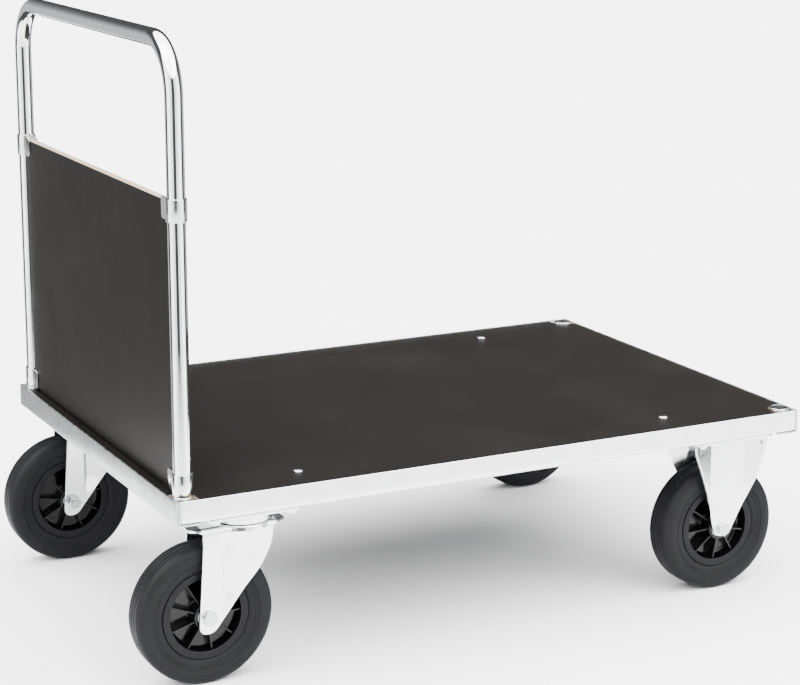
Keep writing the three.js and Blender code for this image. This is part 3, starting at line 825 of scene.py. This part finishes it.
def top_plate(hand):
    """Bolting plate with the round upper race pressed down from it."""
    node = f"top_plate_rear_{hand}"
    low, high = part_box(node)
    centre = (low + high) / 2
    pin = middle_of(f"kingpin_rear_{hand}")
    plate = caster_plate(centre, high.z - PLATE_SHEET, high.z)
    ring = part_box(f"dust_ring_rear_{hand}")[1]
    inner, foot = 0.034, ring.z + 0.0003
    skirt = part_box(f"swivel_fork_rear_{hand}")[1].z + 0.0012
    wide = ring.x - pin.x + 0.0002
    rim = wide + 0.0012
    profile = rounded([
        (inner, foot, 0), (wide, foot, 0), (wide, skirt, 0.0003), (rim, skirt, 0.0005),
        (rim, high.z - PLATE_SHEET - 0.002, 0.003), (wide - 0.001, high.z - 0.001, 0),
        (inner, high.z - 0.001, 0),
    ])
    combine(plate, lathe(profile, "Z", (pin.x, pin.y, 0), 96), "UNION")
    drill_plate(plate, centre, high.z)
    place(plate, node, "zinc_bright")


def caster_plate(centre, low, high):
    """A round-cornered bolting plate."""
    half_x, half_y = PLATE_HALF_SIZE
    corners = [
        (centre.x + dx * half_x, centre.y + dy * half_y, 0.01)
        for dx, dy in ((-1, -1), (1, -1), (1, 1), (-1, 1))
    ]
    return soften(prism(rounded(corners, 6), "Z", low, high), 0.0006)


def plate_centre(place_name):
    """Where a caster's bolting plate has its middle."""
    if place_name.startswith("rear"):
        return middle_of(f"kingpin_{place_name}")
    return middle_of(f"axle_tube_{place_name}") + Vector((0.008, 0, 0))


def bolt_places():
    return [(dx * BOLT_OFFSET[0], dy * BOLT_OFFSET[1]) for dx in (-1, 1) for dy in (-1, 1)]


def drill_plate(plate, centre, height):
    """Cuts a bolting plate's four holes."""
    for dx, dy in bolt_places():
        spot = (centre.x + dx, centre.y + dy, height)
        combine(plate, rod("Z", spot, BOLT_HOLE_RADIUS, -0.02, 0.02, 24), "DIFFERENCE")


def drill_axle(legs, centre):
    """Cuts the axle's holes through both legs."""
    combine(legs, rod("Y", centre, AXLE_HOLE_RADIUS, -0.06, 0.06), "DIFFERENCE")


def fixed_bracket(hand):
    """Bolting plate and two legs whose leading and trailing strips are folded outwards."""
    node = f"fixed_bracket_front_{hand}"
    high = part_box(node)[1]
    axle = middle_of(f"axle_tube_front_{hand}")
    centre = plate_centre(f"front_{hand}")
    top = high.z - 0.0035
    trailing_fold, leading_fold = -0.031, 0.0285
    limits = leg_limits([
        (-0.0726, top + CUT_MARGIN, 0), (-0.0712, 0.232, 0.004), (-0.033, 0.150, 0.03),
        (-0.028, 0.112, 0.03), (-0.0195, 0.0885, 0.014), (0.003, 0.0885, 0.013),
        (0.020, 0.120, 0.04), (0.052, 0.176, 0.04), (0.067, 0.223, 0.01),
        (0.0697, top + CUT_MARGIN, 0),
    ])

    def half_width(x, z):
        out_trailing = 0.515 * max(trailing_fold - x, 0.0)
        out_leading = 0.14 * max(x - leading_fold, 0.0)
        lines = crease(x, trailing_fold) + 0.6 * crease(x, leading_fold)
        sunk = 0.0016 * (1 - rise(x, trailing_fold, 0.006)) * ease(z, 0.12, 0.16)
        return LEGS_HALF_WIDTH + out_trailing + out_leading - lines * ease(z, 0.14, 0.16) - sunk

    bracket = pressed_legs(limits, half_width, top, 0.004, lambda progress: (-0.0698, 0.0692))
    bracket.data.transform(Matrix.Translation((centre.x, centre.y, 0)))
    combine(bracket, caster_plate(centre, high.z - PLATE_SHEET, high.z), "UNION")
    drill_plate(bracket, centre, high.z)
    drill_axle(bracket, (axle.x, centre.y, axle.z))
    soften(bracket, 0.0005, 2, 50)
    place(bracket, node, "zinc_bright", smooth=30)


def caster_bolts(node, place_name):
    """Four hexagon bolts from below, each with a nut above the frame's flange."""
    flats, head_height, nut_height, radius = 0.016, 0.0064, 0.008, 0.005
    seat_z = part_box(node)[1].z - PLATE_SHEET - 0.0001
    centre = plate_centre(place_name)
    for number, (dx, dy) in enumerate(bolt_places(), 1):
        seat = Vector((centre.x + dx, centre.y + dy, seat_z))
        head = hex_head("Z", seat, flats, head_height, -1)
        bolt = combine(head, rod("Z", seat, radius, -0.001, 0.0165, 24), "UNION")
        place(bolt, node, "zinc_bright", name=f"caster_bolt_{place_name}_{number}", stands_for=False)
        nut_seat = Vector((seat.x, seat.y, MEMBER_FLOOR + 0.0001))
        nut = hex_nut("Z", nut_seat, flats, nut_height, radius + 0.0001)
        place(nut, node, "zinc_bright", name=f"caster_nut_{place_name}_{number}", stands_for=False)


# ---------------------------------------------------------------- wheels


def tyre_profile():
    """The section: bead, ridged sidewall and grooved tread, then its mirror."""
    groove, depth, shoulder, crown = 0.0009, 0.0012, 0.0185, 0.0004
    side = [
        (0.0641, 0.016), (0.0641, 0.0192), (0.0652, 0.0204), (0.068, 0.0216), (0.0728, 0.0222),
        (0.0734, 0.0230), (0.0744, 0.0232), (0.0750, 0.0226), (0.0785, 0.0232), (0.0795, 0.0246),
        (0.081, 0.025), (0.087, 0.0248), (0.0925, 0.0238), (0.0965, 0.0215), (0.0988, shoulder),
    ]
    tread = []
    for centre in (0.0135, 0.0048):
        for offset, drop in ((1, 0.0), (0.5, depth), (-0.5, depth), (-1, 0.0)):
            y = centre + offset * groove
            tread.append((WHEEL_RADIUS - crown * (y / shoulder) ** 2 - drop, y))
    half = side + tread
    return half + [(r, -y) for r, y in reversed(half)]


def rim_profile():
    """The section: hub, web and seat of the tyre, then its mirror."""
    side = [
        (0.0143, 0.026, 0.0004), (0.0188, 0.026, 0.0012), (0.0212, 0.0045, 0.0025),
        (0.0490, 0.0040, 0.0030), (0.0528, 0.0198, 0.0008), (0.0632, 0.0205, 0.0010),
        (0.0636, 0.0150, 0.0003),
    ]
    return rounded(side + [(r, -y, f) for r, y, f in reversed(side)], 4)


def wheel_rim_mesh():
    """Hub, web and tyre seat with ribs, glossy inside and satin on the outer ring."""
    rim = lathe(rim_profile(), "Y", (0, 0, 0), 108)
    hub, hub_half, seat, seat_half, half_sheet = 0.0175, 0.0215, 0.0535, 0.0165, 0.0011
    outline = [(hub, -hub_half), (seat, -seat_half), (seat, seat_half), (hub, hub_half)]
    for k in range(RIB_COUNT):
        rib = soften(prism(outline, "Z", -half_sheet, half_sheet), 0.0004)
        rib.data.transform(Matrix.Rotation(2 * math.pi * k / RIB_COUNT, 4, "Y"))
        combine(rim, rib, "UNION")
    rim.data.materials.append(MATERIALS["rim_plastic"])
    rim.data.materials.append(MATERIALS["rim_face"])
    for polygon in rim.data.polygons:
        radius = math.hypot(polygon.center.x, polygon.center.z)
        polygon.material_index = 1 if radius > 0.0533 and abs(polygon.center.y) > 0.0125 else 0
    return rim


def axle_bolt(place_name, centre, turn):
    """Hexagon bolt with its head on the trolley's outer side."""
    s = HANDS[place_name.split("_")[1]]
    head = hex_head("Y", (0, s * AXLE_BOLT_SEAT, 0), AXLE_BOLT_FLATS, 0.0065, s)
    ends = sorted((s * (AXLE_BOLT_SEAT + 0.001), -s * 0.0455))
    bolt = combine(head, rod("Y", (0, 0, 0), 0.006, *ends, 48), "UNION")
    turned = Matrix.Rotation(math.radians(-turn), 4, "Y")
    bolt.data.transform(Matrix.Translation(centre) @ turned)
    place(bolt, f"axle_bolt_{place_name}", "zinc_bright", [MATERIALS["zinc_bolt"]])


def axle_nut(place_name, centre):
    """The bolt's nut on the inner side."""
    s = HANDS[place_name.split("_")[1]]
    nut = hex_nut("Y", (0, -s * AXLE_BOLT_SEAT, 0), AXLE_BOLT_FLATS, 0.010, 0.0061, -s)
    nut.data.transform(Matrix.Translation(centre))
    place(nut, f"axle_nut_{place_name}", "zinc_bright", [MATERIALS["zinc_bolt"]])


def wheel_set():
    """Every wheel's tyre, rim, bearing, axle tube, bolt and nut."""
    tyre = lathe(tyre_profile(), "Y", (0, 0, 0), 144)
    rim = wheel_rim_mesh()
    bearing = lathe(ring_profile(0.0102, 0.0140, -0.0252, 0.0252, 0.0004), "Y", (0, 0, 0), 48)
    tube = lathe(ring_profile(0.0062, 0.0100, -0.0292, 0.0292, 0.0004), "Y", (0, 0, 0), 48)
    turns = {  # degrees: wheel, bolt
        "rear_right": (0, -16), "front_right": (25, 30), "rear_left": (12, 9), "front_left": (31, -7),
    }
    for place_name, (wheel_turn, bolt_turn) in turns.items():
        centre = middle_of(f"axle_tube_{place_name}")
        move = Matrix.Translation(centre)
        spin = move @ Matrix.Rotation(math.radians(-wheel_turn), 4, "Y")
        place(copy_of(tyre, spin), f"tyre_{place_name}", "rubber_tyre", smooth=28)
        place(copy_of(rim, spin), f"wheel_rim_{place_name}", "rim_plastic")
        place(copy_of(bearing, move), f"roller_bearing_{place_name}", "bearing_steel")
        place(copy_of(tube, move), f"axle_tube_{place_name}", "bearing_steel")
        axle_bolt(place_name, centre, bolt_turn)
        axle_nut(place_name, centre)
    for spare in (tyre, rim, bearing, tube):
        bpy.data.objects.remove(spare)


# ---------------------------------------------------------------- stage


def camera():
    """Handle end and right-hand side in view, from a little above the deck."""
    azimuth, elevation, roll = math.radians(-26.7), math.radians(11.9), math.radians(-0.1)
    distance = 3.4507
    level = math.cos(elevation)
    right = Vector((math.cos(azimuth), math.sin(azimuth), 0))
    back = Vector((math.sin(azimuth) * level, -math.cos(azimuth) * level, math.sin(elevation)))
    up = back.cross(right)
    target = Vector((0.013, 0, 0.4)) + right * 0.0096 + up * 0.0829
    data = bpy.data.cameras.new("camera")
    data.lens = 99.46
    data.sensor_width = 36.0
    data.shift_y = -0.0906
    made = bpy.data.objects.new("camera", data)
    scene.collection.objects.link(made)
    turn = Matrix((right, up, back)).transposed() @ Matrix.Rotation(roll, 3, "Z")
    made.matrix_world = Matrix.Translation(target + back * distance) @ turn.to_4x4()
    scene.camera = made


def soft_sun(direction, strength, spread):
    """One wide overhead light."""
    data = bpy.data.lights.new("overhead_softbox", "SUN")
    data.energy = strength
    data.angle = math.radians(spread)
    lamp = bpy.data.objects.new("overhead_softbox", data)
    scene.collection.objects.link(lamp)
    lamp.rotation_mode = "QUATERNION"
    lamp.rotation_quaternion = Vector(direction).to_track_quat("-Z", "Y")


def floor_piece(name, inner, outer, material, in_reflections):
    """A ring of the studio floor; the far one is kept out of the metal's reflections."""
    sides = 96
    verts, faces = [], []
    for k in range(sides):
        angle = 2 * math.pi * k / sides
        for radius in (inner, outer):
            verts.append((radius * math.cos(angle), radius * math.sin(angle), 0))
        m = (k + 1) % sides
        faces.append((2 * k, 2 * k + 1, 2 * m + 1, 2 * m))
    if inner == 0:
        faces = [(0, *face[1:3]) for face in faces]
    piece = mesh_object(name, verts, faces)
    if piece.data.polygons[0].normal.z < 0:
        piece.data.flip_normals()
    piece.data.materials.append(material)
    piece.visible_glossy = in_reflections


def studio_air():
    """Bright walls beside the viewer, darker openings elsewhere, and a pale backdrop past the floor."""
    wall_light, behind_light, dark_light, backdrop_light = 5.0, 0.8, 0.10, 6.2
    world = bpy.data.worlds.new("studio_air")
    scene.world = world
    world.use_nodes = True
    tree = world.node_tree

    def node(kind, inputs, **settings):
        return add_node(tree, kind, inputs, **settings)

    def step(value, start, end, low, high):
        inputs = {"Value": value, "From Min": start, "From Max": end, "To Min": low, "To Max": high}
        return node("ShaderNodeMapRange", inputs, interpolation_type="SMOOTHSTEP").outputs["Result"]

    def calc(operation, first, second):
        return node("ShaderNodeMath", {0: first, 1: second}, operation=operation).outputs[0]

    def turned_step(degrees_start, degrees_end, low, high):
        return step(aside, math.radians(degrees_start), math.radians(degrees_end), low, high)

    towards = node("ShaderNodeTexCoord", {}).outputs["Generated"]
    turn = {"Vector": towards, "Angle": math.radians(116.7)}
    turned = node("ShaderNodeVectorRotate", turn, rotation_type="Z_AXIS").outputs[0]
    x, y, up = node("ShaderNodeSeparateXYZ", {"Vector": turned}).outputs
    aside = node("ShaderNodeMath", {0: calc("ARCTAN2", y, x)}, operation="ABSOLUTE").outputs[0]

    opening = turned_step(14, 21, 0.0, 0.5)
    fuller = turned_step(34, 57, 0.0, 0.5)
    beside = turned_step(80, 90, 1.0, 0.0)
    below = calc("MULTIPLY", step(up, -0.22, -0.30, 0.0, 0.8), step(aside, 1.6, 1.8, 1.0, 0.0))
    lit = calc("MAXIMUM", calc("MULTIPLY", calc("ADD", opening, fuller), beside), below)

    level_band = calc("MULTIPLY", step(up, -0.05, 0.42, 1.0, 0.1), step(up, -0.44, -0.36, 0.1, 1.0))
    around = calc("MULTIPLY", step(aside, 2.0, 2.1, 0.0, 1.0), step(aside, 2.6, 2.95, 1.0, 0.0))
    behind = calc("MULTIPLY", around, level_band)

    ceiling = step(up, 0.55, 0.85, 0.0, 0.35)
    walls = calc("MAXIMUM", calc("MULTIPLY", lit, wall_light), calc("MULTIPLY", behind, behind_light))
    seen = node("ShaderNodeLightPath", {}).outputs["Is Camera Ray"]
    backdrop = calc("MULTIPLY", seen, backdrop_light)
    level = calc("MAXIMUM", backdrop, calc("MAXIMUM", walls, calc("ADD", ceiling, dark_light)))
    background = tree.nodes["Background"].inputs
    tree.links.new(level, background["Strength"])
    background["Color"].default_value = (0.985, 0.99, 1.0, 1.0)


def studio():
    """A pale floor, the air around it and the light above it."""
    material = floor_paint()
    near, far = 1.05, 30
    floor_piece("floor_near", 0, near, material, True)
    floor_piece("floor_far", near, far, material, False)
    studio_air()
    soft_sun((0.06, 0.12, -1.0), 18.0, 110)


camera()
studio()
for hand in HANDS:
    side_rail(hand)
    for end in ENDS:
        corner_socket(end, hand)
        deck_bolt(end, hand)
    for level in ("lower", "upper"):
        panel_clamp(level, hand)
    swivel_fork(hand)
    top_plate(hand)
    fixed_bracket(hand)
    caster_bolts(f"top_plate_rear_{hand}", f"rear_{hand}")
    caster_bolts(f"fixed_bracket_front_{hand}", f"front_{hand}")
for end in ENDS:
    end_rail(end)
    cross_member(end)
deck_board()
handle_tube()
end_panel()
wheel_set()
for hand in HANDS:
    paint(f"kingpin_rear_{hand}", "bearing_steel")
    paint(f"ball_race_rear_{hand}", "bearing_steel")
    paint(f"dust_ring_rear_{hand}", "seal_plastic")
